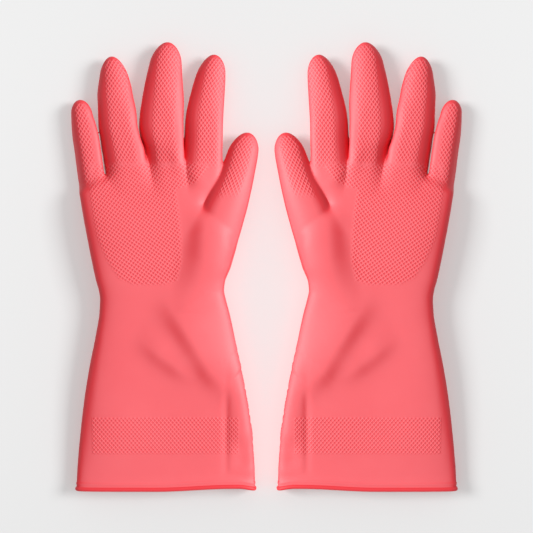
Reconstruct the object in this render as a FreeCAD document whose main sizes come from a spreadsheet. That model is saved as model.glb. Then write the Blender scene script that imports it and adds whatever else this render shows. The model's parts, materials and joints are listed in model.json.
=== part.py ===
import FreeCAD, Part
import math
import os
import Sketcher

# A pair of long household gloves lying palm up on a flat surface, thumbs towards each other.
# Every glove is a thin rubber shell with a cotton flock lining bonded inside it and a rolled bead
# round the cuff. Shell and lining are divided where the glove bends, so that each stretch can move.
#
# Frame: millimetres, the surface is z = 0, +Y runs from the cuffs to the fingertips, and the
# gloves mirror each other in the plane x = 0. The left-hand glove lies on the +X side.

GENERAL = {
    "wall": 0.55,               # thickness of the dipped rubber
    "lining": 0.25,             # thickness of the flock inside it
    "joint_gap": 0.3,           # slit between two stretches that bend against each other
    "bead_radius": 1.6,         # round edge rolled at the cuff
    "bead_bite": 0.1,           # how far the shell runs into the bead
    "sole_trim": 0.05,          # rubber pressed flat where the glove rests
    "finger_lift": 0.4,         # clearance under the fingers
    "fold_reach": 24.0,         # from the middle of the thumb's fold to the crotch
    "fold_run_out": 60.0,       # size of the cut that opens the hand towards the thumb
}

# Upright cross-sections from the cuff to the fingers: place along the glove, middle across it,
# width and height.
SECTION_FIELDS = ("along", "middle", "width", "height")
SECTIONS = {
    "cuff": (-149.4, 68.3, 119.8, 12.6),
    "band": (-113.7, 68.6, 115.4, 15.0),
    "flare": (-81.0, 69.1, 105.6, 16.5),
    "forearm": (-48.5, 68.8, 94.1, 18.5),
    "waist": (-22.5, 70.6, 84.2, 20.0),
    "heel": (0.0, 71.5, 91.0, 21.5),
    "thenar": (13.0, 72.3, 94.6, 22.5),
    "palm": (28.0, 77.5, 90.0, 23.0),
    "crotch": (43.0, 85.2, 80.6, 22.5),
    "saddle": (60.0, 83.1, 89.2, 19.0),
    "bridge": (52.0, 75.2, 67.0, 18.0),
    "bridge_end": (77.8, 71.7, 80.6, 17.4),
    "ulnar": (50.0, 117.0, 15.8, 15.0),
    "ulnar_end": (62.8, 119.2, 17.2, 15.0),
}

# Cross-sections up the thumb's root, with the way each one faces in degrees from +Y towards +X.
THUMB_FIELDS = ("along", "middle", "lean", "width", "height")
THUMB_SECTIONS = {
    "thumb_fold": (21.0, 35.3, -66.7, 45.0, 19.5),
    "thumb_mound": (36.5, 29.3, -38.0, 30.0, 18.5),
    "thumb_belly": (49.5, 24.65, -23.0, 27.0, 17.0),
    "thumb_knuckle": (63.1, 19.7, -17.0, 22.6, 15.5),
}

# Each finger: middle of its base, lean in degrees towards +X, length of its root and of its tip,
# width at the base, halfway up the root and at the knuckle, height at the base and the knuckle,
# and how far the knuckle bows out towards +X.
FINGER_FIELDS = ("middle", "lean", "root_length", "tip_length", "base_width", "belly_width",
                 "knuckle_width", "base_height", "knuckle_height", "bow")
FINGERS = {
    "index": (43.5, -6.5, 32.0, 32.6, 23.8, 23.6, 22.6, 17.0, 14.5, 2.2),
    "middle": (69.0, -1.4, 36.5, 36.4, 22.8, 28.6, 27.2, 17.0, 15.0, 3.2),
    "ring": (97.1, 7.3, 32.0, 32.4, 28.6, 25.8, 24.8, 17.0, 14.5, 2.0),
    "little": (119.2, 8.5, 24.0, 25.6, 16.6, 15.6, 15.2, 14.6, 12.6, 0.6),
}
FINGER_BASES = {"index": "bridge_end", "middle": "bridge_end", "ring": "bridge_end",
                "little": "ulnar_end"}
THUMB_TIP_LENGTH = 28.4

# Rounded end of every digit: share of the tip's length, and of the knuckle's width, height
# and bow.
TIP_FIELDS = ("reach", "breadth", "depth", "bend")
TIP_SECTIONS = {
    "pad": (0.45, 0.87, 0.90, 0.75),
    "shoulder": (0.80, 0.62, 0.68, 0.3),
    "end": (1.00, 0.26, 0.30, 0.0),
}

PARTS_FOLDER = "parts"


def fill_sheet(doc):
    """Puts every driving dimension in the spreadsheet, each under an alias of its own."""
    values = dict(GENERAL)
    values["thumb_tip_length"] = THUMB_TIP_LENGTH
    for table, fields in ((SECTIONS, SECTION_FIELDS), (THUMB_SECTIONS, THUMB_FIELDS),
                          (FINGERS, FINGER_FIELDS), (TIP_SECTIONS, TIP_FIELDS)):
        for name, numbers in table.items():
            for field, number in zip(fields, numbers):
                values[f"{name}_{field}"] = number
    sheet = doc.addObject("Spreadsheet::Sheet", "Sizes")
    for row, (alias, number) in enumerate(values.items(), start=1):
        sheet.set(f"A{row}", alias)
        sheet.set(f"B{row}", str(number))
        sheet.setAlias(f"B{row}", alias)
    doc.recompute()


def size(alias):
    """Expression that reads one cell of the spreadsheet."""
    return f"Sizes.{alias}"


def past_gap(along="0"):
    """Expression for a place moved forwards by half the slit between two stretches."""
    return f"{along} + {size('joint_gap')} / 2"


def before_gap(along="0"):
    """Expression for a place moved back by half the slit between two stretches."""
    return f"{along} - {size('joint_gap')} / 2"


def station(across, along, lift, width, height, lean="0"):
    """One upright oval cross-section: where its middle is, its size and the way it faces."""
    return {"across": across, "along": along, "lift": lift,
            "width": width, "height": height, "lean": lean}


def arm_station(name, shift=str):
    """Section of the cuff, wrist or palm, resting on the surface."""
    height = size(f"{name}_height")
    return station(size(f"{name}_middle"), shift(size(f"{name}_along")), f"{height} / 2",
                   size(f"{name}_width"), height)


def cuff_station():
    """The end of the cuff, held off the surface by its bead."""
    place = arm_station("cuff")
    place["lift"] = f"{size('bead_radius')} + ({size('cuff_height')} - {size('wall')}) / 2"
    return place


def thumb_station(name, slide="0"):
    """Section of the thumb's root, slid the way it faces."""
    height = size(f"{name}_height")
    lean = size(f"{name}_lean")
    across = f"{size(name + '_middle')} + ({slide}) * sin({lean} * 1 deg)"
    along = f"{size(name + '_along')} + ({slide}) * cos({lean} * 1 deg)"
    return station(across, along, f"{size('thumb_fold_height')} / 2",
                   size(f"{name}_width"), height, lean)


def tip_stations(start, length, width, height, bow, lift):
    """The rounded end of a digit, from its knuckle to its closed tip."""
    places = [station(bow, past_gap(start), lift, width, height)]
    for name in TIP_SECTIONS:
        places.append(station(f"{bow} * {size(name + '_bend')}",
                              f"{start} + {length} * {size(name + '_reach')}", lift,
                              f"{width} * {size(name + '_breadth')}",
                              f"{height} * {size(name + '_depth')}"))
    return places


def origin_plane(body, role):
    """The body's own origin plane with the given role."""
    return next(item for item in body.Origin.OriginFeatures if item.Role == role)


def add_sketch(body, name, placement):
    """An empty sketch in the body, placed by an expression from its XY plane."""
    sketch = body.newObject("Sketcher::SketchObject", f"{body.Name}_{name}")
    sketch.AttachmentSupport = [(origin_plane(body, "XY_Plane"), "")]
    sketch.MapMode = "FlatFace"
    sketch.setExpression("AttachmentOffset", placement)
    return sketch


def add_oval(body, name, place, inset):
    """Sketches a flat-sided oval at a station, smaller all round by the inset."""
    facing = f"rotation(vector(0; 0; 1); -({place['lean']})) * rotation(vector(1; 0; 0); 90)"
    spot = f"vector({place['across']}; {place['along']}; {place['lift']})"
    sketch = add_sketch(body, name, f"placement({spot}; {facing})")

    reach, radius, quarter = 10.0, 5.0, math.pi / 2
    normal = FreeCAD.Vector(0, 0, 1)
    corners = [FreeCAD.Vector(x, y, 0) for x, y in
               ((-reach, -radius), (reach, -radius), (reach, radius), (-reach, radius))]
    right_end = Part.Circle(FreeCAD.Vector(reach, 0, 0), normal, radius)
    left_end = Part.Circle(FreeCAD.Vector(-reach, 0, 0), normal, radius)
    bottom = sketch.addGeometry(Part.LineSegment(corners[0], corners[1]))
    right = sketch.addGeometry(Part.ArcOfCircle(right_end, -quarter, quarter))
    top = sketch.addGeometry(Part.LineSegment(corners[2], corners[3]))
    left = sketch.addGeometry(Part.ArcOfCircle(left_end, quarter, 3 * quarter))

    start, end, centre = 1, 2, 3
    x_axis, origin = -1, (-1, 1)
    for first, second in ((bottom, right), (right, top), (top, left), (left, bottom)):
        sketch.addConstraint(Sketcher.Constraint("Tangent", first, end, second, start))
    sketch.addConstraint(Sketcher.Constraint("Horizontal", bottom))
    for arc in (left, right):
        sketch.addConstraint(Sketcher.Constraint("PointOnObject", arc, centre, x_axis))
    half_flat = f"({place['width']} - {place['height']}) / 2"
    sized = (
        (Sketcher.Constraint("Radius", right, radius), f"{place['height']} / 2 - {inset}"),
        (Sketcher.Constraint("DistanceX", *origin, right, centre, reach), half_flat),
        (Sketcher.Constraint("DistanceX", left, centre, *origin, reach), half_flat),
    )
    for constraint, expression in sized:
        number = sketch.addConstraint(constraint)
        sketch.setExpression(f"Constraints[{number}]", expression)
    return sketch


def add_loft(body, kind, name, stations, inset, straight):
    """Adds or cuts a loft through a row of ovals, smooth or in straight runs."""
    ovals = [add_oval(body, f"{name}_{number}", place, inset)
             for number, place in enumerate(stations)]
    loft = body.newObject(f"PartDesign::{kind}Loft", f"{body.Name}_{name}")
    loft.Profile = ovals[0]
    loft.Sections = ovals[1:]
    loft.Ruled = straight


def drawn_back(stations, closed, inset):
    """The same stations, with a closed end drawn back by the inset."""
    if not closed:
        return stations
    last = dict(stations[-1])
    last["along"] = f"{last['along']} - {inset}"
    return stations[:-1] + [last]


def add_skin(doc, label, limbs, outer_inset, inner_inset, straight):
    """A hollow body: a loft through each limb's stations, emptied by a smaller one inside it.

    Every limb is (stations, closed), where a closed limb ends in a wall.
    """
    body = doc.addObject("PartDesign::Body", label)
    body.Label = label
    for kind, name, inset in (("Additive", "outside", outer_inset),
                              ("Subtractive", "hollow", inner_inset)):
        for number, (stations, closed) in enumerate(limbs):
            places = drawn_back(stations, closed, inset)
            add_loft(body, kind, f"{name}_{number}", places, inset, straight)
    return body


def add_layers(doc, node, limbs, straight=False):
    """The rubber shell and the flock lining of one stretch of the glove."""
    wall = size("wall")
    both = f"({wall} + {size('lining')})"
    return [add_skin(doc, f"left_{node}_shell", limbs, "0", wall, straight),
            add_skin(doc, f"left_{node}_lining", limbs, wall, both, straight)]


def add_rectangle(body, name, placement, corner, opposite):
    """Sketches a rectangle between two corners given as pairs of expressions or numbers."""
    sketch = add_sketch(body, name, placement)
    points = [FreeCAD.Vector(x, y, 0) for x, y in ((-1, -1), (1, -1), (1, 1), (-1, 1))]
    lines = [sketch.addGeometry(Part.LineSegment(first, second))
             for first, second in zip(points, points[1:] + points[:1])]
    for line, following in zip(lines, lines[1:] + lines[:1]):
        sketch.addConstraint(Sketcher.Constraint("Coincident", line, 2, following, 1))
    for line, way in zip(lines, ("Horizontal", "Vertical", "Horizontal", "Vertical")):
        sketch.addConstraint(Sketcher.Constraint(way, line))
    for line, values in ((lines[0], corner), (lines[2], opposite)):
        for way, value in zip(("DistanceX", "DistanceY"), values):
            number = sketch.addConstraint(Sketcher.Constraint(way, -1, 1, line, 1, 1.0))
            sketch.setExpression(f"Constraints[{number}]", value)
    return sketch


def trim_sole(body):
    """Presses the underside flat, so that the stretch has a true face to rest on."""
    reach = f"-{size('cuff_along')} * 2"
    flat = "placement(vector(0; 0; 0); rotation(vector(0; 0; 1); 0))"
    sketch = add_rectangle(body, "sole", flat, (f"-({reach})", f"-({reach})"), (reach, reach))
    pocket = body.newObject("PartDesign::Pocket", f"{body.Name}_sole_cut")
    pocket.Profile = sketch
    pocket.Reversed = True
    pocket.setExpression("Length", size("sole_trim"))


def open_to_thumb(body):
    """Cuts the hand off along the thumb's fold, so that its hollow opens into the thumb."""
    spot = f"vector({size('thumb_fold_middle')}; {size('thumb_fold_along')}; 0)"
    facing = f"rotation(vector(0; 0; 1); -({size('thumb_fold_lean')}))"
    run_out = size("fold_run_out")
    sketch = add_rectangle(body, "fold", f"placement({spot}; {facing})",
                           (f"-{run_out}", f"-{size('joint_gap')} / 2"),
                           (size("fold_reach"), run_out))
    pocket = body.newObject("PartDesign::Pocket", f"{body.Name}_fold_cut")
    pocket.Profile = sketch
    pocket.Midplane = True
    pocket.setExpression("Length", run_out)


def build_gauntlet(doc):
    """From the cuff to the waist at the wrist."""
    places = [cuff_station()]
    places += [arm_station(name) for name in ("band", "flare", "forearm")]
    places.append(arm_station("waist", before_gap))
    shell, lining = add_layers(doc, "gauntlet", [(places, False)], straight=True)
    trim_sole(shell)
    return [shell, lining]


def build_hand(doc):
    """From the waist to the fingers' bases, open towards all five digits."""
    heart = [arm_station("waist", past_gap)]
    heart += [arm_station(name) for name in ("heel", "thenar", "palm", "crotch", "saddle")]
    bridge = [arm_station("bridge"), arm_station("bridge_end", before_gap)]
    ulnar = [arm_station("ulnar"), arm_station("ulnar_end", before_gap)]
    layers = add_layers(doc, "hand", [(heart, True), (bridge, False), (ulnar, False)])
    for layer in layers:
        open_to_thumb(layer)
    trim_sole(layers[0])
    return layers


def build_finger(doc, name):
    """The root and the tip of one finger, each with its lining."""
    lean = size(f"{name}_lean")
    bow = size(f"{name}_bow")
    root_length = size(f"{name}_root_length")
    base_height = size(f"{name}_base_height")
    knuckle_width = size(f"{name}_knuckle_width")
    knuckle_height = size(f"{name}_knuckle_height")
    lift = f"{size('finger_lift')} + {base_height} / 2"
    root = [
        station("0", past_gap(), lift, size(f"{name}_base_width"), base_height,
                f"-({lean})"),
        station(f"{bow} * 0.65", f"{root_length} / 2", lift, size(f"{name}_belly_width"),
                f"({base_height} + {knuckle_height}) / 2"),
        station(bow, before_gap(root_length), lift, knuckle_width, knuckle_height),
    ]
    tip = tip_stations(root_length, size(f"{name}_tip_length"), knuckle_width,
                       knuckle_height, bow, lift)
    bodies = add_layers(doc, f"{name}_root", [(root, False)])
    bodies += add_layers(doc, f"{name}_tip", [(tip, True)])
    base = FINGER_BASES[name]
    spot = f"vector({size(name + '_middle')}; {size(base + '_along')}; 0)"
    for body in bodies:
        body.setExpression("Placement", f"placement({spot}; rotation(vector(0; 0; 1); -({lean})))")
    return bodies


def build_thumb(doc):
    """The thumb from its fold beside the palm, each stretch with its lining."""
    root = [thumb_station("thumb_fold", past_gap()), thumb_station("thumb_mound"),
            thumb_station("thumb_belly"), thumb_station("thumb_knuckle", before_gap())]
    tip = tip_stations("0", size("thumb_tip_length"), size("thumb_knuckle_width"),
                       size("thumb_knuckle_height"), "0", f"{size('thumb_fold_height')} / 2")
    bodies = add_layers(doc, "thumb_root", [(root, False)])
    tips = add_layers(doc, "thumb_tip", [(tip, True)])
    spot = f"vector({size('thumb_knuckle_middle')}; {size('thumb_knuckle_along')}; 0)"
    facing = f"rotation(vector(0; 0; 1); -({size('thumb_knuckle_lean')}))"
    for body in tips:
        body.setExpression("Placement", f"placement({spot}; {facing})")
    return bodies + tips


def build_bead(doc):
    """The rolled edge: a round pipe all the way along the middle of the cuff's wall."""
    body = doc.addObject("PartDesign::Body", "left_cuff_bead")
    body.Label = "left_cuff_bead"
    place = cuff_station()
    place["along"] = f"{size('cuff_along')} + {size('bead_bite')} - {size('bead_radius')}"
    route = add_oval(body, "route", place, f"{size('wall')} / 2")

    start_across = f"{place['across']} - ({place['width']} - {place['height']}) / 2"
    start_lift = f"{place['lift']} - {place['height']} / 2 + {size('wall')} / 2"
    spot = f"vector({start_across}; {place['along']}; {start_lift})"
    round_section = add_sketch(body, "round", f"placement({spot}; rotation(vector(0; 1; 0); 90))")
    circle = round_section.addGeometry(
        Part.Circle(FreeCAD.Vector(0, 0, 0), FreeCAD.Vector(0, 0, 1), 1.0))
    round_section.addConstraint(Sketcher.Constraint("Coincident", circle, 3, -1, 1))
    number = round_section.addConstraint(Sketcher.Constraint("Radius", circle, 1.0))
    round_section.setExpression(f"Constraints[{number}]", size("bead_radius"))

    pipe = body.newObject("PartDesign::AdditivePipe", "left_cuff_bead_pipe")
    pipe.Profile = round_section
    pipe.Spine = (route, [])
    return [body]


def add_mirrored(doc, body):
    """The same stretch of the right-hand glove, in the mirror plane x = 0."""
    label = body.Label.replace("left_", "right_")
    other = doc.addObject("Part::Mirroring", label)
    other.Label = label
    other.Source = body
    other.Normal = FreeCAD.Vector(1, 0, 0)
    return other


def check_document(doc, nodes):
    """Stops on any failed object, and on any node without a valid solid."""
    for item in doc.Objects:
        if "Invalid" in item.State or "Error" in item.State:
            raise RuntimeError(f"{item.Name} failed: {item.State}")
    for node in nodes:
        if node.Shape.isNull() or not node.Shape.isValid() or len(node.Shape.Solids) != 1:
            raise RuntimeError(f"{node.Label} isn't one valid solid")


def main():
    doc = FreeCAD.newDocument("rubber_gloves")
    fill_sheet(doc)
    left = build_gauntlet(doc) + build_bead(doc) + build_hand(doc) + build_thumb(doc)
    for name in FINGERS:
        left += build_finger(doc, name)
    doc.recompute()
    nodes = left + [add_mirrored(doc, body) for body in left]
    doc.recompute()
    check_document(doc, nodes)
    os.makedirs(PARTS_FOLDER, exist_ok=True)
    for node in nodes:
        node.Shape.exportStep(os.path.join(PARTS_FOLDER, f"{node.Label}.step"))


main()
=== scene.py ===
"""A pair of coral household gloves lying palm up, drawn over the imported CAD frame.

The gloves mirror each other in the plane x = 0, so the skin is worked out once, in millimetres,
for the left-hand glove on the +X side. Its outside is the zero level of a field made of a flat
slab for the arm and palm and a tapered tube for every digit, melted together where they meet.
"""

import json
import math

import bpy
import numpy as np
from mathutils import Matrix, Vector


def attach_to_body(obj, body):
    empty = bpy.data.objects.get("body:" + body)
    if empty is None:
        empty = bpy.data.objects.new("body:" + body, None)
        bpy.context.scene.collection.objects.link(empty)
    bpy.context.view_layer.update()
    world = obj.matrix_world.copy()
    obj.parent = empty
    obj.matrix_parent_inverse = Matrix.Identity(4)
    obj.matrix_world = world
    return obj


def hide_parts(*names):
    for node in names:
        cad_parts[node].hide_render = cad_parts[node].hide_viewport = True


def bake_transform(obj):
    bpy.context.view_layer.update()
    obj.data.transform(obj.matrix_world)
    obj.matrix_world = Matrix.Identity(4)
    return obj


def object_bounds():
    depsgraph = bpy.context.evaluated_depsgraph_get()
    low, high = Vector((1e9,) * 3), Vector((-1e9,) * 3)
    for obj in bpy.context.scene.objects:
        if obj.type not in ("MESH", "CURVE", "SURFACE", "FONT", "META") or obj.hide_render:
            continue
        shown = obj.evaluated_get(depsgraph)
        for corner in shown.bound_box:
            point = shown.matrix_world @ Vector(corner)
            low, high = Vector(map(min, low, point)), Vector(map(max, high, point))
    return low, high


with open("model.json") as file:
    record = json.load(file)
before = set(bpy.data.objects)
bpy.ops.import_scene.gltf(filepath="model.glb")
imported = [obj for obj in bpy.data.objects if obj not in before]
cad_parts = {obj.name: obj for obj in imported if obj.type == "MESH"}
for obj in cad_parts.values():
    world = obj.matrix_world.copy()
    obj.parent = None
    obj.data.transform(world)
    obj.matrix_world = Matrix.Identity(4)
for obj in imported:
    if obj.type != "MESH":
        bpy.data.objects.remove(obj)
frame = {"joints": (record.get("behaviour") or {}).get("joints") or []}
cad_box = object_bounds()

MM = 0.001
JOINTS = {joint["name"]: joint for joint in frame["joints"]}
DIGITS = ("thumb", "index", "middle", "ring", "little")
FINGERS = DIGITS[1:]
SEGMENTS = ("gauntlet", "hand") + tuple(f"{digit}_{part}" for digit in DIGITS
                                        for part in ("root", "tip"))

# ---------------------------------------------------------------------------------------------
# Sizes of one glove, in millimetres. x is across from the middle of the pair towards the little
# finger, y is along from the cuff to the fingertips, z is up from the surface.

# Slab of the arm and palm: y, edge on the thumb's side, edge on the little finger's side,
# height, clearance underneath.
ARM = (
    (-165.0, 7.6, 128.9, 12.4, 2.0),
    (-149.4, 7.8, 128.8, 12.6, 1.9),
    (-141.0, 8.0, 128.6, 13.2, 0.7),
    (-128.0, 8.9, 127.7, 14.2, 0.0),
    (-114.0, 10.6, 126.3, 15.0, 0.0),
    (-97.0, 13.3, 124.3, 16.0, 0.0),
    (-81.0, 16.0, 122.0, 17.0, 0.0),
    (-65.0, 18.6, 119.2, 18.0, 0.0),
    (-48.5, 21.6, 115.8, 18.6, 0.0),
    (-32.0, 25.1, 112.9, 19.2, 0.0),
    (-22.5, 27.6, 112.4, 19.8, 0.0),
    (-16.0, 28.9, 113.3, 20.2, 0.0),
    (-10.0, 28.8, 115.0, 20.6, 0.0),
    (0.0, 26.9, 117.2, 21.2, 0.0),
    (11.0, 26.0, 119.4, 21.6, 0.0),
    (20.0, 28.6, 121.1, 22.0, 0.0),
    (30.0, 34.5, 123.0, 21.8, 0.0),
    (43.0, 43.0, 125.3, 20.4, 0.0),
    (56.0, 38.0, 127.3, 17.2, 0.0),
    (69.0, 31.5, 128.7, 12.0, 0.6),
    (78.0, 31.2, 128.8, 6.5, 1.0),
    (90.0, 31.2, 128.8, 4.5, 1.2),
)
ARM_CREST = 0.57            # share of the slab's height above its widest level
ARM_SQUARENESS = 5.0        # exponent of its oval section
WEB_SQUARENESS = 2.5        # exponent of its rounding at the webs
WEB_ROUNDING = 9.0          # how far back from the webs the palm starts to close

# Where the palm ends between the fingers: x, y.
WEB = ((20, 60), (31, 66), (34, 69), (43, 76), (54, 84), (58, 84), (69, 77), (82.5, 82),
       (86.5, 82), (97, 72), (104, 66), (110, 61), (114, 60), (119, 58), (130, 57))

# Digits: y, x of the middle, width, height, level of the middle. Each starts small inside the palm.
TUBES = {
    "thumb": (
        (-30.0, 52.0, 14.0, 8.0, 9.0), (-12.0, 46.5, 25.0, 15.0, 9.6),
        (0.0, 41.8, 32.0, 18.4, 10.2), (12.0, 37.2, 32.4, 19.6, 10.8),
        (22.0, 33.8, 32.0, 19.6, 11.4), (34.0, 30.2, 31.6, 19.4, 12.0),
        (49.5, 24.8, 28.4, 17.6, 12.6), (63.0, 20.0, 24.2, 15.6, 11.8),
        (77.0, 16.1, 21.2, 13.6, 10.6), (84.0, 14.6, 19.2, 12.6, 10.2),
        (90.8, 13.2, 17.0, 12.0, 10.0),
    ),
    "index": (
        (32.0, 46.0, 12.0, 8.0, 8.4), (48.0, 44.6, 23.0, 15.0, 8.7),
        (69.0, 43.3, 24.6, 16.8, 8.9), (79.0, 43.0, 24.0, 16.8, 8.9),
        (96.0, 42.5, 24.7, 15.6, 8.9), (102.0, 42.1, 25.0, 15.2, 8.9),
        (110.0, 41.1, 24.4, 14.6, 8.9), (118.0, 39.8, 22.9, 14.0, 8.9),
        (126.0, 38.5, 21.2, 13.2, 8.9), (130.0, 37.8, 19.9, 12.8, 8.9),
        (136.0, 36.7, 18.2, 12.4, 8.9), (143.8, 35.6, 15.5, 12.0, 8.9),
    ),
    "middle": (
        (32.0, 67.2, 12.0, 8.0, 8.4), (48.0, 67.6, 22.0, 15.0, 8.7),
        (69.0, 68.8, 23.0, 16.8, 8.9), (79.0, 69.4, 24.4, 16.8, 8.9),
        (88.0, 71.0, 27.8, 16.2, 8.9), (96.0, 71.5, 29.4, 15.6, 8.9),
        (104.0, 71.1, 29.4, 15.2, 8.9), (112.0, 70.4, 28.6, 14.8, 8.9),
        (120.0, 69.9, 26.9, 14.4, 8.9), (128.0, 69.4, 24.7, 13.8, 8.9),
        (136.5, 68.6, 22.2, 13.0, 8.9), (144.0, 67.9, 20.0, 12.6, 8.9),
        (152.2, 67.2, 17.0, 12.0, 8.9),
    ),
    "ring": (
        (32.0, 91.0, 12.0, 8.0, 8.4), (48.0, 93.0, 25.0, 15.0, 8.7),
        (69.0, 95.8, 27.2, 16.8, 8.9), (79.0, 97.3, 27.4, 16.6, 8.9),
        (88.0, 99.4, 25.9, 16.0, 8.9), (96.0, 100.9, 25.8, 15.6, 8.9),
        (104.0, 101.3, 25.9, 15.2, 8.9), (110.0, 101.9, 25.2, 14.8, 8.9),
        (116.0, 102.7, 24.2, 14.4, 8.9), (122.0, 103.0, 22.6, 13.8, 8.9),
        (128.5, 103.4, 19.8, 13.0, 8.9), (136.0, 104.2, 17.2, 12.4, 8.9),
        (142.4, 104.9, 15.0, 12.0, 8.9),
    ),
    "little": (
        (28.0, 114.2, 8.0, 7.0, 7.6), (42.0, 116.2, 14.5, 13.0, 7.7),
        (62.0, 119.3, 16.8, 14.6, 7.7), (71.0, 120.5, 16.8, 14.2, 7.7),
        (78.0, 121.4, 16.8, 13.8, 7.7), (86.0, 122.6, 16.9, 13.3, 7.7),
        (92.0, 123.5, 16.6, 13.0, 7.7), (98.0, 124.5, 15.7, 12.4, 7.7),
        (103.0, 125.4, 14.4, 12.0, 7.7), (108.0, 126.0, 14.0, 11.6, 7.7),
        (113.2, 126.5, 13.4, 11.4, 7.7),
    ),
}
TIP_ROUNDING = {"thumb": 13.0, "index": 14.0, "middle": 14.0, "ring": 14.0, "little": 10.0}
TIP_SQUARENESS = 2.05       # exponent of a digit's rounding at its end
SQUARENESS = (3.0, 2.1)     # exponent of the fingers' sections, bases and tips
SLANT = (0.42, 0.12)        # lean of the fingers' sections to the thumb's side, bases and tips
TIPWARD = (84, 122)         # where the section changes from that of the bases to that of the tips
FINGER_MELT = 5.0           # how softly the fingers grow out of the palm
THUMB_MELT = ((22, 9.0), (43, 1.5))     # y, softness of the thumb's join to the hand
SOLE = 0.05                 # level of the flat underside
SOLE_MELT = 1.2

# How far before and after each kind of joint the rubber bends, and how far before that it is
# divided into pieces. The thumb's bend starts past its hinge, where it leaves the palm.
BENDS = {"wrist": (12.0, 12.0), "fold": (-5.0, 18.5), "base": (0.0, 13.0), "knuckle": (7.0, 7.0)}
SEAM_MARGIN = 1.2           # at every joint but the thumb's fold

# Soft folds and hollows of the skin: height, width on the left and on the right of the line as
# it runs, then the line's points.
FOLDS = (
    (3.8, 9.5, 21.0, ((72, -12), (62, -30), (47, -52), (37, -69), (26, -80), (8, -88))),
    (2.1, 7.5, 14.0, ((90, -44), (72, -58), (57, -69), (42, -80))),
    (2.3, 9.0, 5.0, ((14, -50), (15, -90), (13, -118), (10, -160))),
    (-0.6, 2.5, 2.5, ((27, -60), (27.2, -100), (27.5, -160))),
    (-1.4, 6.0, 6.0, ((16, -112), (15.5, -142))),
    (1.8, 10.0, 18.0, ((44, 66), (41, 25), (41, 5), (50, -28))),
    (1.5, 6.0, 11.0, ((70, 88), (57, 71), (46, 60), (32, 50))),
    (1.0, 8.0, 26.0, ((112, 10), (109, -50), (121, -150))),
)
WAVE_HEIGHT = 0.25
FOLD_START = (-147.0, -136.0)           # folds come in over this length from the cuff's edge
FOLD_END = 0.4              # share of each line over which it dies away

# Raised diamond net of the grip: spacing, half width of a line, height.
NET_PITCH = 2.1
NET_LINE = 0.62
NET_HEIGHT = 0.30
RELIEF_FACING = (0.1, 0.5)  # upward parts of the normal over which relief comes in
PALM_NET_ANGLES = (35, -55)
FINGER_NET_ANGLES = (54, -54)
PALM_GRIP = ((121.5, 62), (119.5, 45), (115, 20), (108, 3), (100, -9), (89, -13.8), (68.5, -13.8),
             (58.5, -10.5), (55.5, 3), (55.5, 20), (57, 37), (59, 50.5), (45, 56), (38, 65.5),
             (36, 80), (120, 80))
PALM_GRIP_FADE = 3.5
PALM_GRIP_END = (66, 72)    # the palm's net gives way to the fingers' own
# Strip of grip up each digit: half width, shift towards the thumb's side, first y.
STRIPS = {"thumb": (8.2, 0.0, 48.5), "index": (8.4, 3.4, 68.0), "middle": (9.0, 2.2, 68.0),
          "ring": (9.0, 2.2, 68.0), "little": (5.8, 0.3, 56.0)}
STRIP_FADE = 3.0
STRIP_START_FADE = 5.0
STRIP_END = 2.0             # how far short of the tip the strips stop
BAND = (18.5, 117.8, -126.9, -101.2)    # box of the net round the cuff
BAND_PITCH = 2.0
BAND_LINE = 0.45
BAND_HEIGHT = 0.28
BAND_COVER = 0.7            # how strongly its cells are painted with shade, beside those of the hand
BAND_ANGLES = (49, -49)

# The rolled edge of the cuff.
BEAD_RADIUS = 1.5
BEAD_PLACE = -150.5
RIB_PLACE = -146.9
RIB_HEIGHT = 0.35
RIB_WIDTH = 0.9
MOUTH = -151.0              # where the skin stops inside the bead
WALL = 0.9                  # from the outside of the rubber to the flock inside
RECESS = 1.9                # how far the upper edge falls back beside the thumb's side
RECESS_SPAN = (5, 19, 24, 74)           # x where it begins, is full, still full and ends
RECESS_LEVELS = (6.0, 10.0)             # z over which it comes in
RECESS_LENGTH = (-146.0, -134.0)        # y over which it dies away

# Painted light on the rubber: 0.5 is plain, more is towards the painted highlight colour, less is
# towards the painted shade colour. It is plain where the rubber faces up and a little towards its
# lamp, and painted shade deepens as it turns from that way (cosines). The net's lines get painted
# highlight and its cells painted shade.
PLAIN_TONE = 0.5
PAINTED_LINE_HIGHLIGHT = 0.4
PAINTED_CELL_SHADE = 0.16
PAINTED_LIGHT_WAY = (-0.42, 0.0, 0.907)
PAINTED_SHADE_TURN = (0.65, 0.895)
PAINTED_SHADE_TONE = 0.32

# Spacing of the grids that the surfaces are drawn from.
SKIN_STEP = 1.0
LINING_STEP = 2.4
FINE_CUFF = -144.5          # the skin is divided finer beyond this, for the rib


# ---------------------------------------------------------------------------------------------
# Curves and smooth steps

def smooth(value, low, high):
    """Rises softly from 0 at low to 1 at high."""
    t = np.clip((value - low) / (high - low), 0.0, 1.0)
    return t * t * (3 - 2 * t)


def between(pair, share):
    return pair[0] + (pair[1] - pair[0]) * share


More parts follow.
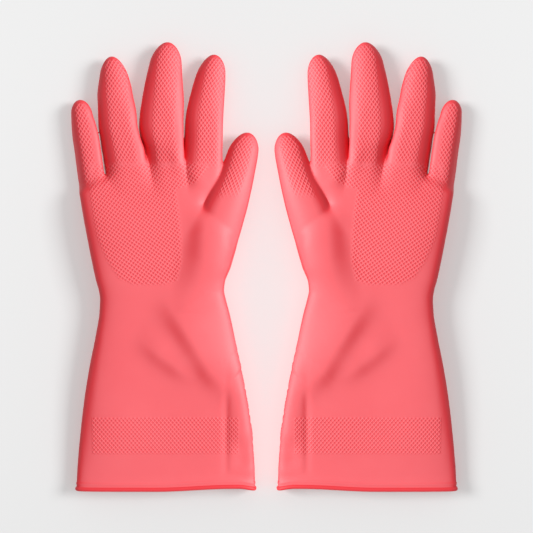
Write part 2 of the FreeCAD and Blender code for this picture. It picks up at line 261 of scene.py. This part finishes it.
def curve_through(knots, values):
    """A smooth function through the points that never overshoots between two of them."""
    x, y = np.array(knots, float), np.array(values, float)
    gaps = np.diff(x)
    slopes = np.diff(y) / gaps
    tangents = np.concatenate(([slopes[0]], np.zeros(len(x) - 2), [slopes[-1]]))
    level = slopes[:-1] * slopes[1:] > 0
    after = 2 * gaps[1:] + gaps[:-1]
    before = gaps[1:] + 2 * gaps[:-1]
    with np.errstate(divide="ignore", invalid="ignore"):
        mean = (after + before) / (after / slopes[:-1] + before / slopes[1:])
    tangents[1:-1] = np.where(level, mean, 0.0)

    fine = np.arange(x[0], x[-1] + 0.25, 0.5)
    cell = np.clip(np.searchsorted(x, fine, side="right") - 1, 0, len(gaps) - 1)
    t = np.clip((fine - x[cell]) / gaps[cell], 0.0, 1.0)
    heights = ((1 + 2 * t) * (1 - t) ** 2 * y[cell] + t * t * (3 - 2 * t) * y[cell + 1]
               + gaps[cell] * t * (1 - t) * ((1 - t) * tangents[cell] - t * tangents[cell + 1]))
    return lambda place: np.interp(place, fine, heights)


def curves_of(rows):
    """One smooth function for each column of a table after its first."""
    columns = list(zip(*rows))
    return [curve_through(columns[0], column) for column in columns[1:]]


ARM_CURVES = curves_of(ARM)
WEB_CURVE = curve_through(*zip(*WEB))
TUBE_CURVES = {digit: curves_of(rows) for digit, rows in TUBES.items()}
FAR = 60.0                  # distance given to a digit from outside its reach
DIGIT_REACH = (12.0, 32.0)  # how far past a digit's tip and to its sides its field is worked out


# ---------------------------------------------------------------------------------------------
# The field: distance outside (+) or inside (-) the skin, near enough to true close to it

def oval_distance(across, rise, ending, half, tall, reach, power, tip_power):
    """Distance to a squared-off oval tube that closes as ending goes from 0 to 1."""
    a, b = np.abs(across) / half, np.abs(rise) / tall
    ring = np.maximum(a ** power + b ** power, 1e-6) ** (1 / power)
    level = (ring ** tip_power + ending ** tip_power) ** (1 / tip_power)
    sides = np.hypot(a ** (power - 1) / half, b ** (power - 1) / tall) * ring ** (1 - power)
    slope = (np.hypot(sides * ring ** (tip_power - 1), ending ** (tip_power - 1) / reach)
             * level ** (1 - tip_power))
    return (level - 1) / np.maximum(slope, 0.02)


def arm_distance(p):
    x, y, z = p.T
    inner, outer, height, clearance = (curve(y) for curve in ARM_CURVES)
    level = clearance + (1 - ARM_CREST) * height
    rise = z - level
    tall = np.where(rise > 0, ARM_CREST, 1 - ARM_CREST) * height
    end = WEB_CURVE(x)
    ending = np.maximum(y - (end - WEB_ROUNDING), 0.0) / WEB_ROUNDING
    return oval_distance(x - (inner + outer) / 2, rise, ending, (outer - inner) / 2, tall,
                         WEB_ROUNDING, ARM_SQUARENESS, WEB_SQUARENESS)


def digit_distance(p, digit):
    rows = TUBES[digit]
    middle, width, height, level = TUBE_CURVES[digit]
    first, last = rows[0][0], rows[-1][0]
    distance = np.full(len(p), FAR)
    near = np.flatnonzero((p[:, 1] > first) & (p[:, 1] < last + DIGIT_REACH[0])
                          & (np.abs(p[:, 0] - middle(p[:, 1])) < DIGIT_REACH[1]))
    x, y, z = p[near].T
    rounding = TIP_ROUNDING[digit]
    ending = np.maximum(y - (last - rounding), 0.0) / rounding
    rise = z - level(y)
    slant, squareness = 0.0, SQUARENESS[1]
    if digit != "thumb":
        tipward = smooth(y, *TIPWARD)
        slant, squareness = between(SLANT, tipward), between(SQUARENESS, tipward)
    distance[near] = oval_distance(x - middle(y) + slant * rise, rise, ending, width(y) / 2,
                                   height(y) / 2, rounding, squareness, TIP_SQUARENESS)
    return distance


def melt(first, second, softness):
    """Union of two distances with a fillet."""
    near = np.maximum(softness - np.abs(first - second), 0.0) / softness
    return np.minimum(first, second) - near * near * softness / 4


def hand_distance(p):
    """The arm, palm and four fingers, without the thumb."""
    fingers = np.minimum.reduce([digit_distance(p, finger) for finger in FINGERS])
    return melt(arm_distance(p), fingers, FINGER_MELT)


def skin_distance(p):
    softness = np.interp(p[:, 1], *zip(*THUMB_MELT))
    whole = melt(hand_distance(p), digit_distance(p, "thumb"), softness)
    return -melt(-whole, p[:, 2] - SOLE, SOLE_MELT)


def inner_distance(p):
    """The same field drawn in to the face of the lining."""
    return skin_distance(p) + WALL


CORNERS = np.array(((1, -1, -1), (-1, -1, 1), (-1, 1, -1), (1, 1, 1)), float)
PROBE = 0.3


def value_and_slope(field, p):
    """The field and its gradient, from four samples round each point."""
    samples = [field(p + PROBE * corner) for corner in CORNERS]
    value = sum(samples) / 4
    slope = sum(sample[:, None] * corner for sample, corner in zip(samples, CORNERS)) / (4 * PROBE)
    return value, slope


def settle(field, p, rounds):
    """Moves points onto the zero level, and returns them with the way out there."""
    for _ in range(rounds):
        value, slope = value_and_slope(field, p)
        steep = np.maximum((slope ** 2).sum(1), 0.04)
        p = p - slope * np.clip(value / steep, -1.0, 1.0)[:, None]
    _, slope = value_and_slope(field, p)
    return p, slope / np.linalg.norm(slope, axis=1)[:, None]


# ---------------------------------------------------------------------------------------------
# Meshes as arrays. A mesh is (points, corners, counts): every polygon's corner numbers one after
# the other, and how many corners each polygon has.

def shifted(grid, move):
    """The block of a grid that starts at move, one smaller than the grid each way."""
    return grid[tuple(slice(m, size - 1 + m) for m, size in zip(move, grid.shape))]


CELL_CORNERS = [(i, j, k) for i in (0, 1) for j in (0, 1) for k in (0, 1)]


def crossing_means(values, crossed):
    """Mean of the places where the zero level crosses the edges of each crossed cell."""
    total = np.zeros((crossed.sum(), 3))
    hits = np.zeros(crossed.sum())
    for corner in CELL_CORNERS:
        for axis in range(3):
            if corner[axis]:
                continue
            other = tuple(c + (n == axis) for n, c in enumerate(corner))
            one, two = shifted(values, corner)[crossed], shifted(values, other)[crossed]
            hit = (one < 0) != (two < 0)
            share = np.where(hit, one / np.where(hit, one - two, 1.0), 0.0)
            spot = np.tile(np.array(corner, float), (len(one), 1))
            spot[:, axis] = share
            total += spot * hit[:, None]
            hits += hit
    return total / hits[:, None]


def net_surface(field, low, high, step):
    """Quads along the zero level of a field, one point in each grid cell that it crosses."""
    axes = [np.arange(a, b + step / 2, step) for a, b in zip(low, high)]
    grid = np.stack(np.meshgrid(*axes, indexing="ij"), -1)
    values = field(grid.reshape(-1, 3)).reshape(grid.shape[:3])
    inside = values < 0
    filled = sum(shifted(inside, corner).astype(int) for corner in CELL_CORNERS)
    crossed = (filled > 0) & (filled < 8)
    number = np.full(crossed.shape, -1)
    number[crossed] = np.arange(crossed.sum())
    points = np.array(low) + (np.argwhere(crossed) + crossing_means(values, crossed)) * step

    quads = []
    for axis in range(3):
        second, third = (axis + 1) % 3, (axis + 2) % 3
        one = [slice(1, -1)] * 3
        two = list(one)
        one[axis], two[axis] = slice(0, -1), slice(1, None)
        here, there = inside[tuple(one)], inside[tuple(two)]
        for leaving in (True, False):
            edges = np.argwhere((here == leaving) & (there != leaving))
            edges[:, second] += 1
            edges[:, third] += 1
            ring = []
            for back_second, back_third in ((1, 1), (0, 1), (0, 0), (1, 0)):
                cell = edges.copy()
                cell[:, second] -= back_second
                cell[:, third] -= back_third
                ring.append(number[tuple(cell.T)])
            quads.append(np.stack(ring if leaving else ring[::-1], 1))
    return points, np.concatenate(quads)


def split_in_nine(points, quads, chosen):
    """Divides the chosen quads three by three; their neighbours take the new edge points."""
    count = len(points)
    picked = quads[chosen]
    sides = np.stack((picked, np.roll(picked, -1, 1)), -1)
    keys = sides.min(-1) * count + sides.max(-1)
    edges, edge_of = np.unique(keys, return_inverse=True)
    edge_of = edge_of.reshape(keys.shape)
    low, high = points[edges // count], points[edges % count]
    on_edges = np.stack(((2 * low + high) / 3, (low + 2 * high) / 3), 1).reshape(-1, 3)

    def pair(side):
        """The two new points along a side of the picked quads, in walking order."""
        start = count + 2 * edge_of[:, side]
        flipped = sides[:, side, 0] > sides[:, side, 1]
        return start + flipped, start + 1 - flipped

    a, b, c, d = (points[picked[:, n]] for n in range(4))
    inner = []
    for u, v in ((1, 1), (2, 1), (2, 2), (1, 2)):
        inner.append(((3 - u) * (3 - v) * a + u * (3 - v) * b + u * v * c + (3 - u) * v * d) / 9)
    first_inner = count + len(on_edges)
    centre = first_inner + np.arange(len(picked) * 4).reshape(-1, 4)
    (s1, s2), (e1, e2), (n1, n2), (w1, w2) = (pair(side) for side in range(4))
    rows = ((picked[:, 0], s1, s2, picked[:, 1]),
            (w2, centre[:, 0], centre[:, 1], e1),
            (w1, centre[:, 3], centre[:, 2], e2),
            (picked[:, 3], n2, n1, picked[:, 2]))
    small = [np.stack((rows[r][k], rows[r][k + 1], rows[r + 1][k + 1], rows[r + 1][k]), 1)
             for r in range(3) for k in range(3)]

    rest = quads[~chosen]
    sides = np.stack((rest, np.roll(rest, -1, 1)), -1)
    keys = sides.min(-1) * count + sides.max(-1)
    place = np.clip(np.searchsorted(edges, keys), 0, len(edges) - 1)
    found = edges[place] == keys
    flipped = sides[..., 0] > sides[..., 1]
    start = count + 2 * place
    walk = np.stack((rest, np.where(found, start + flipped, -1),
                     np.where(found, start + 1 - flipped, -1)), -1).reshape(len(rest), -1)
    small = np.concatenate(small)
    corners = np.concatenate((small.ravel(), walk[walk >= 0]))
    counts = np.concatenate((np.full(len(small), 4), (walk >= 0).sum(1)))
    inner = np.stack(inner, 1).reshape(-1, 3)
    return np.concatenate((points, on_edges, inner)), corners, counts


def polygon_middles(points, corners, counts):
    starts = np.concatenate(([0], np.cumsum(counts)[:-1]))
    return np.add.reduceat(points[corners], starts) / counts[:, None]


def new_mesh(name, points, corners, counts):
    mesh = bpy.data.meshes.new(name)
    mesh.vertices.add(len(points))
    mesh.vertices.foreach_set("co", (points * MM).astype(np.float32).ravel())
    mesh.loops.add(len(corners))
    mesh.loops.foreach_set("vertex_index", corners.astype(np.int32))
    mesh.polygons.add(len(counts))
    starts = np.concatenate(([0], np.cumsum(counts)[:-1]))
    mesh.polygons.foreach_set("loop_start", starts.astype(np.int32))
    mesh.polygons.foreach_set("use_smooth", np.ones(len(counts), bool))
    mesh.update(calc_edges=True)
    return mesh


def point_normals(points, corners, counts):
    """Normal of every point of the undivided skin, so that no seam shows between pieces."""
    mesh = new_mesh("whole", points, corners, counts)
    normals = np.zeros(len(points) * 3, np.float32)
    mesh.vertex_normals.foreach_get("vector", normals)
    bpy.data.meshes.remove(mesh)
    return normals.reshape(-1, 3).astype(float)


def take_polygons(mesh, normals, painted_light_tone, chosen):
    """The chosen polygons as a piece of their own."""
    points, corners, counts = mesh
    kept = corners[np.repeat(chosen, counts)]
    used, renumbered = np.unique(kept, return_inverse=True)
    return {"points": points[used], "corners": renumbered.reshape(-1), "counts": counts[chosen],
            "normals": normals[used], "painted_light_tone": painted_light_tone[used]}


def mirrored(piece):
    flip = np.array((-1.0, 1.0, 1.0))
    return {"points": piece["points"] * flip, "normals": piece["normals"] * flip,
            "corners": piece["corners"][::-1], "counts": piece["counts"][::-1],
            "painted_light_tone": piece["painted_light_tone"]}


# ---------------------------------------------------------------------------------------------
# Relief of the skin

def along_line(x, y, line):
    """Signed distance from a line of points, + on its left, and share of the way along it."""
    nearest = np.full(len(x), np.inf)
    signed = np.zeros(len(x))
    share = np.zeros(len(x))
    lengths = [math.dist(a, b) for a, b in zip(line, line[1:])]
    done = 0.0
    for (ax, ay), (bx, by), length in zip(line, line[1:], lengths):
        dx, dy = (bx - ax) / length, (by - ay) / length
        t = np.clip((x - ax) * dx + (y - ay) * dy, 0.0, length)
        rx, ry = x - ax - t * dx, y - ay - t * dy
        distance = np.hypot(rx, ry)
        closer = distance < nearest
        nearest[closer] = distance[closer]
        signed[closer] = np.copysign(distance, dx * ry - dy * rx)[closer]
        share[closer] = ((done + t) / sum(lengths))[closer]
        done += length
    return signed, share


def fold_height(x, y):
    """Height of the soft folds, over a faint wave that runs all over the skin."""
    total = WAVE_HEIGHT * np.sin(x / 16 + 1.3) * np.sin(y / 21 + 0.4)
    for height, left, right, line in FOLDS:
        signed, share = along_line(x, y, line)
        width = np.where(signed > 0, left, right)
        ends = smooth(share, 0.0, FOLD_END) * smooth(1 - share, 0.0, FOLD_END)
        total = total + height * np.exp(-(signed / width) ** 2) * ends
    return total * smooth(y, *FOLD_START)


def net_lines(u, v, pitch, angles, half_width):
    """1 on the lines of a diamond net and 0 between them."""
    lines = np.zeros(len(u))
    for angle in angles:
        turn = math.radians(angle)
        place = (v * math.cos(turn) - u * math.sin(turn)) / pitch
        gap = np.abs(place - np.round(place)) * pitch
        lines = np.maximum(lines, smooth(half_width - gap, 0.0, half_width))
    return lines


def polygon_depth(x, y, outline):
    """Distance inside (+) or outside (-) a closed outline."""
    nearest = np.full(len(x), np.inf)
    within = np.zeros(len(x), bool)
    for (ax, ay), (bx, by) in zip(outline, outline[1:] + outline[:1]):
        dx, dy = bx - ax, by - ay
        t = np.clip(((x - ax) * dx + (y - ay) * dy) / (dx * dx + dy * dy), 0.0, 1.0)
        nearest = np.minimum(nearest, np.hypot(x - ax - t * dx, y - ay - t * dy))
        crosses = (ay > y) != (by > y)
        if dy:
            within ^= crosses & (x < ax + (y - ay) * dx / dy)
    return np.where(within, nearest, -nearest)


def strip_share(x, y, digit):
    """How much of a digit's strip of grip there is at each point, and how far across it is."""
    half, shift, start = STRIPS[digit]
    middle = TUBE_CURVES[digit][0]
    last = TUBES[digit][-1][0]
    rounding = TIP_ROUNDING[digit]
    ending = np.clip((y - (last - rounding)) / (rounding - 2.5), 0.0, 1.0)
    half_here = half * np.sqrt(1 - 0.75 * ending ** 2)
    across = x - middle(y) + shift * (1 - 0.6 * ending)
    share = (smooth(half_here - np.abs(across), 0.0, STRIP_FADE)
             * smooth(y, start - STRIP_START_FADE, start + STRIP_START_FADE)
             * smooth(last - STRIP_END - y, 0.0, 1.5))
    return share, across


def grip(p):
    """Height of the raised net, and how much grip there is, at each point."""
    x, y = p[:, 0], p[:, 1]
    palm = (smooth(polygon_depth(x, y, PALM_GRIP), 0.0, PALM_GRIP_FADE)
            * (1 - smooth(y, *PALM_GRIP_END)))
    height = palm * net_lines(x, y, NET_PITCH, PALM_NET_ANGLES, NET_LINE) * NET_HEIGHT
    cover = palm
    for digit in DIGITS:
        share, across = strip_share(x, y, digit)
        lines = net_lines(across, y, NET_PITCH, FINGER_NET_ANGLES, NET_LINE)
        height = np.maximum(height, share * lines * NET_HEIGHT)
        cover = np.maximum(cover, share)
    left, right, low, high = BAND
    band = smooth(np.minimum(np.minimum(x - left, right - x), np.minimum(y - low, high - y)),
                  0.0, 1.0)
    lines = net_lines(x, y, BAND_PITCH, BAND_ANGLES, BAND_LINE)
    height = np.maximum(height, band * lines * BAND_HEIGHT)
    return height, np.maximum(cover, BAND_COVER * band)


def cuff_rib(y):
    return RIB_HEIGHT * np.exp(-((y - RIB_PLACE) / RIB_WIDTH) ** 2)


def fall_back(p):
    """Draws the upper edge of the mouth back on the thumb's side, so the lower one shows."""
    a, b, c, d = RECESS_SPAN
    x, y, z = p.T
    share = (smooth(x, a, b) * (1 - smooth(x, c, d)) * smooth(z, *RECESS_LEVELS)
             * (1 - smooth(y, *RECESS_LENGTH)))
    moved = p.copy()
    moved[:, 1] += RECESS * share
    return moved


# ---------------------------------------------------------------------------------------------
# Division into the stretches that the joints move

def hinge_of(side, name):
    """A joint's place in millimetres and the way along the glove across it."""
    joint = JOINTS[f"{side}_{name}"]
    along = np.array((-joint["axis"][1], joint["axis"][0], 0.0))
    return np.array(joint["pos_m"]) / MM, along


def joint_before(segment):
    """Name and kind of the joint at the start of a stretch."""
    if segment == "hand":
        return "wrist", "wrist"
    digit, part = segment.split("_")
    if part == "tip":
        return f"{digit}_knuckle", "knuckle"
    kind = "fold" if digit == "thumb" else "base"
    return f"{digit}_{kind}", kind


def past_seam(p, segment):
    name, kind = joint_before(segment)
    place, along = hinge_of("left", name)
    margin = 0.0 if kind == "fold" else SEAM_MARGIN
    return (p - place) @ along > -BENDS[kind][0] - margin


def stretch_of(p):
    """Number in SEGMENTS of the stretch that each point of the skin belongs to."""
    stretch = np.zeros(len(p), int)
    stretch[past_seam(p, "hand")] = SEGMENTS.index("hand")
    distances = np.stack([digit_distance(p, digit) for digit in DIGITS], 1)
    owner = distances.argmin(1)
    on_thumb = distances[:, 0] < hand_distance(p)
    for number, digit in enumerate(DIGITS):
        mine = owner == number
        if digit == "thumb":
            mine &= on_thumb
        mine &= past_seam(p, f"{digit}_root")
        stretch[mine] = SEGMENTS.index(f"{digit}_root")
        stretch[mine & past_seam(p, f"{digit}_tip")] = SEGMENTS.index(f"{digit}_tip")
    return stretch


def divide(mesh, normals, painted_light_tone):
    """The skin's polygons as one piece for each stretch."""
    stretch = stretch_of(polygon_middles(*mesh))
    return {name: take_polygons(mesh, normals, painted_light_tone, stretch == number)
            for number, name in enumerate(SEGMENTS)}


# ---------------------------------------------------------------------------------------------
# The skin, the lining and the bead of the left-hand glove

SPAN_LOW = (2.0, MOUTH, -1.5)
SPAN_HIGH = (135.0, 156.0, 27.0)


def make_skin():
    points, quads = net_surface(skin_distance, SPAN_LOW, SPAN_HIGH, SKIN_STEP)
    points, outward = settle(skin_distance, points, 2)
    _, cover = grip(points)
    fine = (cover > 0.01) & (outward[:, 2] > 0.15) | (points[:, 1] < FINE_CUFF)
    points, corners, counts = split_in_nine(points, quads, fine[quads].any(1))
    points, outward = settle(skin_distance, points, 2)

    facing = smooth(outward[:, 2], *RELIEF_FACING)
    height, cover = grip(points)
    lift = (fold_height(points[:, 0], points[:, 1]) + height) * facing + cuff_rib(points[:, 1])
    # Painted highlight on the net's lines and painted shade in its cells, on the upward faces.
    painted_light_tone = PLAIN_TONE + (PAINTED_LINE_HIGHLIGHT * height / NET_HEIGHT - PAINTED_CELL_SHADE * cover) * facing
    points = fall_back(points + outward * lift[:, None])
    normals = point_normals(points, corners, counts)
    # Painted shade, deepening as the rubber turns from its lamp's side.
    painted_light_tone = painted_light_tone - PAINTED_SHADE_TONE * (1 - smooth(normals @ np.array(PAINTED_LIGHT_WAY), *PAINTED_SHADE_TURN))
    return divide((points, corners, counts), normals, painted_light_tone)


def make_lining():
    points, quads = net_surface(inner_distance, SPAN_LOW, SPAN_HIGH, LINING_STEP)
    points, outward = settle(inner_distance, points, 2)
    lift = fold_height(points[:, 0], points[:, 1]) * smooth(outward[:, 2], *RELIEF_FACING)
    points = fall_back(points + outward * lift[:, None])
    corners, counts = quads[:, ::-1].ravel(), np.full(len(quads), 4)
    normals = point_normals(points, corners, counts)
    return divide((points, corners, counts), normals, np.zeros(len(points)))


def bead_path(count):
    """Points evenly along the mouth of the cuff, just inside its outline."""
    turn = np.linspace(0, 2 * math.pi, 4000, endpoint=False)
    inner, outer, height, clearance = (float(curve(BEAD_PLACE)) for curve in ARM_CURVES)
    power = 2 / ARM_SQUARENESS
    inset = BEAD_RADIUS * 0.35
    c, s = np.cos(turn), np.sin(turn)
    x = (inner + outer) / 2 + ((outer - inner) / 2 - inset) * np.sign(c) * np.abs(c) ** power
    tall = np.where(s > 0, ARM_CREST, 1 - ARM_CREST) * height - inset
    z = clearance + (1 - ARM_CREST) * height + tall * np.sign(s) * np.abs(s) ** power
    run = np.concatenate(([0], np.cumsum(np.hypot(np.diff(x), np.diff(z)))))
    even = np.linspace(0, run[-1], count, endpoint=False)
    return np.stack((np.interp(even, run, x), np.full(count, BEAD_PLACE),
                     np.interp(even, run, z)), 1)


def make_bead():
    """A round roll swept along the mouth of the cuff."""
    sweep, round_count = 320, 16
    path = bead_path(sweep)
    ahead = np.roll(path, -1, 0) - np.roll(path, 1, 0)
    ahead /= np.linalg.norm(ahead, axis=1)[:, None]
    outward = np.cross(ahead, (0.0, 1.0, 0.0))
    angle = np.linspace(0, 2 * math.pi, round_count, endpoint=False)
    rings = (path[:, None] + BEAD_RADIUS * (np.cos(angle)[None, :, None] * outward[:, None]
             + np.sin(angle)[None, :, None] * np.array((0.0, 1.0, 0.0))))
    points = fall_back(rings.reshape(-1, 3))
    i = np.arange(sweep)[:, None]
    j = np.arange(round_count)[None]
    here, there = i * round_count, (i + 1) % sweep * round_count
    after = (j + 1) % round_count
    quads = np.stack((here + j, here + after, there + after, there + j), -1).reshape(-1, 4)
    corners, counts = quads.ravel(), np.full(len(quads), 4)
    normals = point_normals(points, corners, counts)
    # With its tone all 0, the bead is drawn wholly in the painted shade colour of its material.
    return take_polygons((points, corners, counts), normals, np.zeros(len(points)),
                         np.ones(len(quads), bool))


# ---------------------------------------------------------------------------------------------
# Materials

def new_material(name):
    material = bpy.data.materials.new(name)
    material.use_nodes = True
    nodes, links = material.node_tree.nodes, material.node_tree.links
    return material, nodes, links, nodes["Principled BSDF"]


def add_noise(nodes, links, scale, detail):
    place = nodes.new("ShaderNodeTexCoord")
    noise = nodes.new("ShaderNodeTexNoise")
    noise.inputs["Scale"].default_value = scale
    noise.inputs["Detail"].default_value = detail
    links.new(place.outputs["Object"], noise.inputs["Vector"])
    return noise.outputs["Fac"]


def add_mix(nodes, links, factor, first, second):
    mix = nodes.new("ShaderNodeMix")
    mix.data_type = "RGBA"
    links.new(factor, mix.inputs["Factor"])
    for socket, colour in ((mix.inputs["A"], first), (mix.inputs["B"], second)):
        if isinstance(colour, tuple):
            socket.default_value = (*colour, 1.0)
        else:
            links.new(colour, socket)
    return mix.outputs["Result"]


def add_range(nodes, links, value, low, high, source=(0.3, 0.7)):
    scaled = nodes.new("ShaderNodeMapRange")
    links.new(value, scaled.inputs["Value"])
    scaled.inputs["From Min"].default_value, scaled.inputs["From Max"].default_value = source
    scaled.inputs["To Min"].default_value, scaled.inputs["To Max"].default_value = low, high
    return scaled.outputs["Result"]


def add_bump(nodes, links, height, shader, strength, distance):
    bump = nodes.new("ShaderNodeBump")
    bump.inputs["Strength"].default_value = strength
    bump.inputs["Distance"].default_value = distance
    links.new(height, bump.inputs["Height"])
    links.new(bump.outputs["Normal"], shader.inputs["Normal"])


def rubber(name, base, pale, painted_shade, painted_highlight):
    """Satin dipped latex: cloudy colour, painted highlights on the net's lines, painted shade in
    its cells and where the rubber turns from its lamp, orange-peel grain.
    """
    material, nodes, links, shader = new_material(name)
    clouds = add_noise(nodes, links, 28, 3)
    grain = add_noise(nodes, links, 1400, 2)
    painted_light_tone = nodes.new("ShaderNodeAttribute")
    painted_light_tone.attribute_name = "painted_light_tone"
    cloudy = add_mix(nodes, links, add_range(nodes, links, clouds, 0.0, 1.0), base, pale)
    # Tone above plain mixes in the painted highlight colour, tone below plain the painted shade
    # colour.
    highlight_share = add_range(nodes, links, painted_light_tone.outputs["Fac"], 0.0, 1.0, (PLAIN_TONE, PLAIN_TONE + 0.3))
    shade_share = add_range(nodes, links, painted_light_tone.outputs["Fac"], 1.0, 0.0, (PLAIN_TONE - 0.3, PLAIN_TONE))
    painted_light_colour = add_mix(nodes, links, highlight_share, add_mix(nodes, links, shade_share, cloudy, painted_shade), painted_highlight)
    links.new(painted_light_colour, shader.inputs["Base Color"])
    links.new(add_range(nodes, links, clouds, 0.52, 0.58), shader.inputs["Roughness"])
    add_bump(nodes, links, grain, shader, 0.25, 0.08 * MM)
    shader.inputs["IOR"].default_value = 1.5
    shader.inputs["Subsurface Weight"].default_value = 0.08
    shader.inputs["Subsurface Radius"].default_value = (0.003, 0.001, 0.0008)
    shader.inputs["Subsurface Scale"].default_value = 1.0
    return material


def flock(name, base, pale):
    """Short cotton fibres: matt, mottled, with a soft sheen."""
    material, nodes, links, shader = new_material(name)
    clumps = add_noise(nodes, links, 700, 4)
    fibres = add_noise(nodes, links, 3200, 2)
    mottled = add_mix(nodes, links, add_range(nodes, links, clumps, 0.0, 1.0), base, pale)
    links.new(mottled, shader.inputs["Base Color"])
    links.new(add_range(nodes, links, fibres, 0.85, 1.0), shader.inputs["Roughness"])
    add_bump(nodes, links, fibres, shader, 0.6, 0.2 * MM)
    shader.inputs["Sheen Weight"].default_value = 0.3
    return material


def pale_floor(name, shade):
    material, nodes, links, shader = new_material(name)
    mottle = add_noise(nodes, links, 6, 2)
    links.new(add_mix(nodes, links, mottle, (shade,) * 3, (shade * 1.01,) * 3),
              shader.inputs["Base Color"])
    shader.inputs["Roughness"].default_value = 0.9
    shader.inputs["Specular IOR Level"].default_value = 0.1
    return material


# ---------------------------------------------------------------------------------------------
# Pieces in the scene

def add_piece(name, piece, material):
    mesh = new_mesh(name, piece["points"], piece["corners"], piece["counts"])
    # The tone sets the painted highlight and painted shade of the rubber.
    painted_light_tone = mesh.attributes.new("painted_light_tone", "FLOAT", "POINT")
    painted_light_tone.data.foreach_set("value", piece["painted_light_tone"].astype(np.float32))
    mesh.normals_split_custom_set_from_vertices(piece["normals"])
    mesh.materials.append(material)
    obj = bpy.data.objects.new(name, mesh)
    bpy.context.scene.collection.objects.link(obj)
    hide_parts(name)
    return obj


def attach(obj, side, segment):
    """Makes a gauntlet piece ride on its body; any other piece only has its placement baked into
    its points.
    """
    if segment == "gauntlet":
        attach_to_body(obj, f"{side}_gauntlet")
        return
    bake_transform(obj)


def add_gloves():
    # Colours of the painted shade and the painted highlight on the rubber.
    painted_shade, painted_highlight = (0.80, 0.036, 0.050), (0.94, 0.17, 0.195)
    latex = rubber("coral_latex", (0.86, 0.116, 0.136), (0.88, 0.128, 0.148), painted_shade, painted_highlight)
    edge = rubber("coral_latex_edge", (0.87, 0.120, 0.140), (0.89, 0.132, 0.152), painted_shade, painted_highlight)
    inside = flock("red_flock", (0.66, 0.05, 0.06), (0.80, 0.10, 0.115))
    skin, lining, bead = make_skin(), make_lining(), make_bead()
    made = {"left": [], "right": []}
    for side in made:
        turned = mirrored if side == "right" else dict
        for segment in SEGMENTS:
            for layer, pieces, material in (("shell", skin, latex), ("lining", lining, inside)):
                name = f"{side}_{segment}_{layer}"
                obj = add_piece(name, turned(pieces[segment]), material)
                attach(obj, side, segment)
                made[side].append(obj)
        roll = add_piece(f"{side}_cuff_bead", turned(bead), edge)
        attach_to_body(roll, f"{side}_gauntlet")
        made[side].append(roll)
    return made


# ---------------------------------------------------------------------------------------------
# Stage, light and camera

GLOVE_MIDDLE = Vector((cad_box[1].x / 2, 0.0, 0.008))
FLOOR_HALF = 3.0
FLOOR_SHADE = 0.63
DAYLIGHT = 0.47
LAMP_PLACE = (-1.50, 0.30, 1.24)    # from the middle of the left-hand glove
LAMP_SIZE = 0.7
GLOVE_POWER = 43.0
FLOOR_POWER = 25.5
LENS = 85.0
SENSOR = 36.0
VIEW_WIDTH = 0.362                  # width in view at the gloves' middle level


def add_floor():
    half = FLOOR_HALF
    mesh = bpy.data.meshes.new("floor")
    mesh.from_pydata([(-half, -half, 0), (half, -half, 0), (half, half, 0), (-half, half, 0)],
                     [], [(0, 1, 2, 3)])
    mesh.materials.append(pale_floor("pale_floor", FLOOR_SHADE))
    floor = bpy.data.objects.new("floor", mesh)
    bpy.context.scene.collection.objects.link(floor)
    return floor


def add_lamp(name, place, target, power, lit, blockers):
    """A square softbox that lights only some things, and is shaded by only some things."""
    light = bpy.data.lights.new(name, "AREA")
    light.size = LAMP_SIZE
    light.energy = power
    lamp = bpy.data.objects.new(name, light)
    lamp.location = place
    lamp.rotation_euler = (target - place).to_track_quat("-Z", "Y").to_euler()
    bpy.context.scene.collection.objects.link(lamp)
    for role, members in (("receiver", lit), ("blocker", blockers)):
        group = bpy.data.collections.new(f"{name}_{role}s")
        for obj in members:
            group.objects.link(obj)
        setattr(lamp.light_linking, f"{role}_collection", group)


def add_daylight(strength):
    world = bpy.data.worlds.new("studio")
    world.use_nodes = True
    background = world.node_tree.nodes["Background"]
    background.inputs["Color"].default_value = (1.0, 1.0, 1.0, 1.0)
    background.inputs["Strength"].default_value = strength
    bpy.context.scene.world = world


def light_studio(gloves, floor):
    """Lights each glove from the other one's side, and the floor from the same two places."""
    add_daylight(DAYLIGHT)
    for side, sign in (("left", 1), ("right", -1)):
        target = Vector((GLOVE_MIDDLE.x * sign, 0.0, 0.0))
        place = target + Vector((LAMP_PLACE[0] * sign, LAMP_PLACE[1], LAMP_PLACE[2]))
        add_lamp(f"{side}_key", place, target, GLOVE_POWER, gloves[side], gloves[side])
        add_lamp(f"{side}_floor_lamp", place, target, FLOOR_POWER, [floor], gloves[side])


def add_camera():
    """Looks straight down on the middle of the pair."""
    data = bpy.data.cameras.new("camera")
    data.lens = LENS
    data.sensor_width = SENSOR
    camera = bpy.data.objects.new("camera", data)
    camera.location = (0.0, 0.0, GLOVE_MIDDLE.z + VIEW_WIDTH * LENS / SENSOR)
    bpy.context.scene.collection.objects.link(camera)
    bpy.context.scene.camera = camera


gloves = add_gloves()
floor = add_floor()
light_studio(gloves, floor)
add_camera()
bpy.context.scene.view_settings.view_transform = "Standard"
